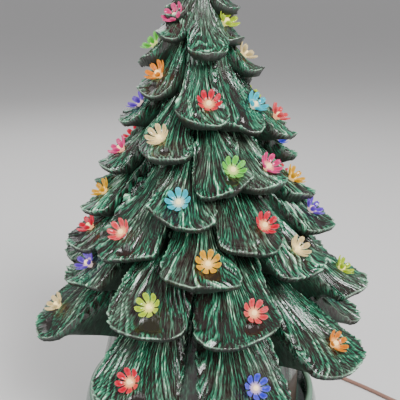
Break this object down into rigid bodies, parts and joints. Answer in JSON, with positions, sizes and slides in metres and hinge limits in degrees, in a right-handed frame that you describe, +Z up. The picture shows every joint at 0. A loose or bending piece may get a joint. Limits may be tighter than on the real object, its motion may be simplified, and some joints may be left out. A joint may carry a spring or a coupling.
{
  "type": "lit ceramic christmas tree",
  "caption": "Glazed ceramic Christmas tree with coloured flower lights, standing on a hollow drum base that holds a small lamp on a cord.",
  "frame": {"origin": "centre of the base on the table", "axes": "+Z up along the axis of the tree, +X to the right and -Y to the front as pictured"},
  "size_m": [0.4291, 0.315, 0.458],
  "materials": {
    "tree_glaze": "glossy green glaze, pale where it breaks over the ridges and dark where it pools",
    "base_glaze": "glossy green glaze, pale on the rim",
    "socket_plastic": "matt ivory phenolic",
    "contact_brass": "rolled brass",
    "spring_steel": "bright spring steel",
    "solder": "dull solder",
    "bulb_glass": "clear glass",
    "filament": "glowing tungsten wire",
    "cord_sheath": "satin brown vinyl",
    "tie_plastic": "matt black plastic strap",
    "light_amber": "clear coloured plastic, lit from inside",
    "light_aqua": "clear coloured plastic, lit from inside",
    "light_blue": "clear coloured plastic, lit from inside",
    "light_coral": "clear coloured plastic, lit from inside",
    "light_cream": "clear coloured plastic, lit from inside",
    "light_crimson": "clear coloured plastic, lit from inside",
    "light_green": "clear coloured plastic, lit from inside",
    "light_lime": "clear coloured plastic, lit from inside",
    "light_orange": "clear coloured plastic, lit from inside",
    "light_pink": "clear coloured plastic, lit from inside",
    "light_purple": "clear coloured plastic, lit from inside"
  },
  "bodies": {
    "base": {"base": "base_glaze", "base_deck": "base_glaze", "socket_body": "socket_plastic", "socket_liner": "contact_brass", "socket_contact": "contact_brass", "socket_clips": "spring_steel", "cord_lead": "cord_sheath", "cord_stretch": "cord_sheath", "cord_coil": "cord_sheath", "coil_tie": "tie_plastic", "plug_body": "cord_sheath", "plug_blades": "contact_brass"},
    "tree": {"tree_core": "tree_glaze", "branches_crown": "tree_glaze", "branches_upper": "tree_glaze", "branches_middle": "tree_glaze", "branches_lower": "tree_glaze", "branches_skirt": "tree_glaze", "lights_amber": "light_amber", "lights_aqua": "light_aqua", "lights_blue": "light_blue", "lights_coral": "light_coral", "lights_cream": "light_cream", "lights_crimson": "light_crimson", "lights_green": "light_green", "lights_lime": "light_lime", "lights_orange": "light_orange", "lights_pink": "light_pink", "lights_purple": "light_purple"},
    "bulb": {"bulb_cap": "contact_brass", "bulb_contact": "solder", "bulb_glass": "bulb_glass", "bulb_stem": "bulb_glass", "bulb_wires": "spring_steel", "bulb_filament": "filament"}
  },
  "joints": [
    {"name": "tree_lift", "type": "slide", "parent": "base", "child": "tree", "axis": [0, 0, 1], "range_m": [0, 0.15]},
    {"name": "bulb_turn", "type": "hinge", "parent": "base", "child": "bulb", "pos_m": [0, 0, 0.05], "axis": [0, 0, 1], "range_deg": [0, 720]}
  ]
}
